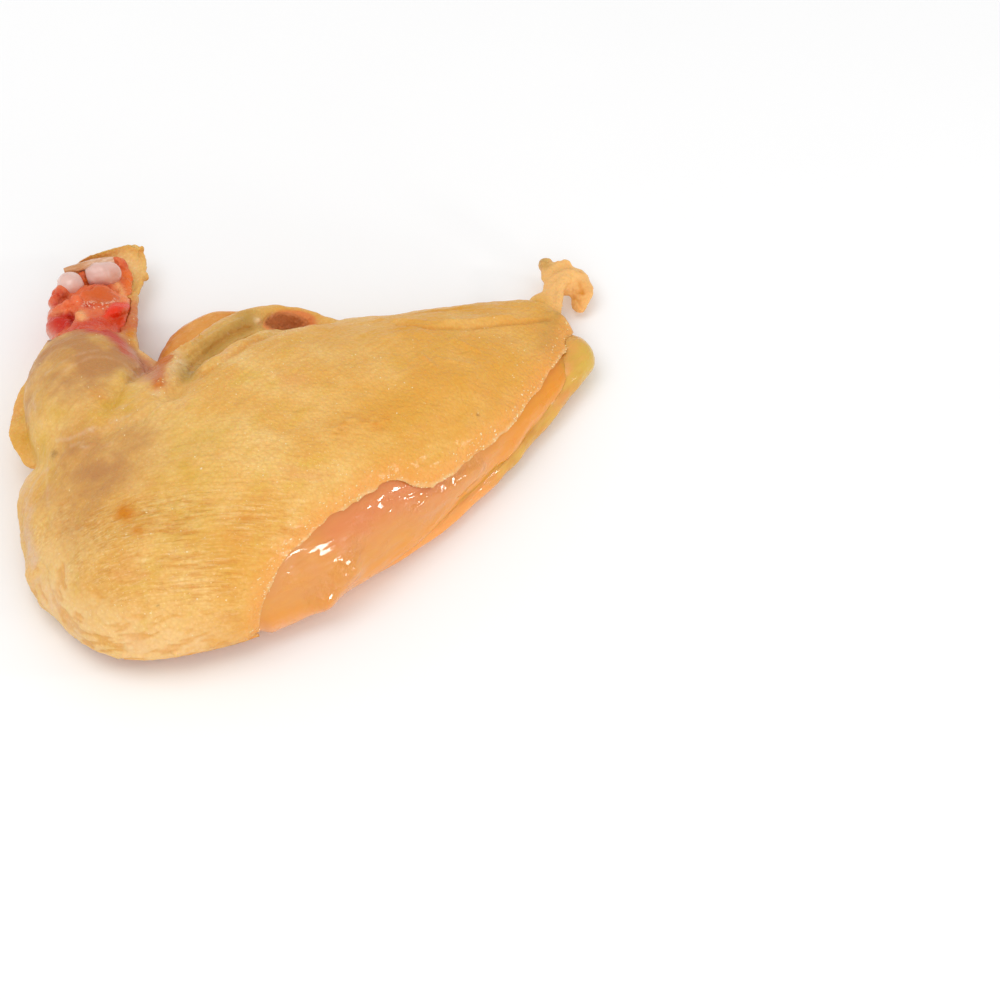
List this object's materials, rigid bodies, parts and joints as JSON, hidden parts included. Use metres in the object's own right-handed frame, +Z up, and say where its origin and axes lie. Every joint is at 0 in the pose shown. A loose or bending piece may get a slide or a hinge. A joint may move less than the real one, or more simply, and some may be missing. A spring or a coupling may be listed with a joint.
{
  "type": "raw chicken breast",
  "caption": "Raw chicken breast lying skin side up, with its wing joint, bare muscle and inner fillet along the keel side, and a curled end of loose skin at the tip",
  "frame": {"origin": "Middle of the bounding box in plan, on the plane that the breast rests on", "axes": "+X from the thick shoulder end to the pointed tip, +Y from the keel side to the wing side, +Z up"},
  "size_m": [0.1921, 0.147, 0.0422],
  "materials": {
    "breast_meat": "wet bare muscle, pink-orange",
    "wing_meat": "wet cut flesh, red to brown-orange",
    "inner_fillet": "wet flesh under an olive-yellow membrane",
    "skin": "raw yellow skin, moist, finely wrinkled",
    "back_flap": "smooth moist orange fat",
    "knuckle_outer": "wet lavender-white cartilage",
    "knuckle_inner": "wet lavender-white cartilage",
    "tendon": "wet pale tendon"
  },
  "bodies": {
    "root": {"breast_meat": "breast_meat", "wing_meat": "wing_meat", "inner_fillet": "inner_fillet", "skin": "skin", "back_flap": "back_flap", "knuckle_outer": "knuckle_outer", "knuckle_inner": "knuckle_inner", "tendon": "tendon"}
  },
  "joints": []
}
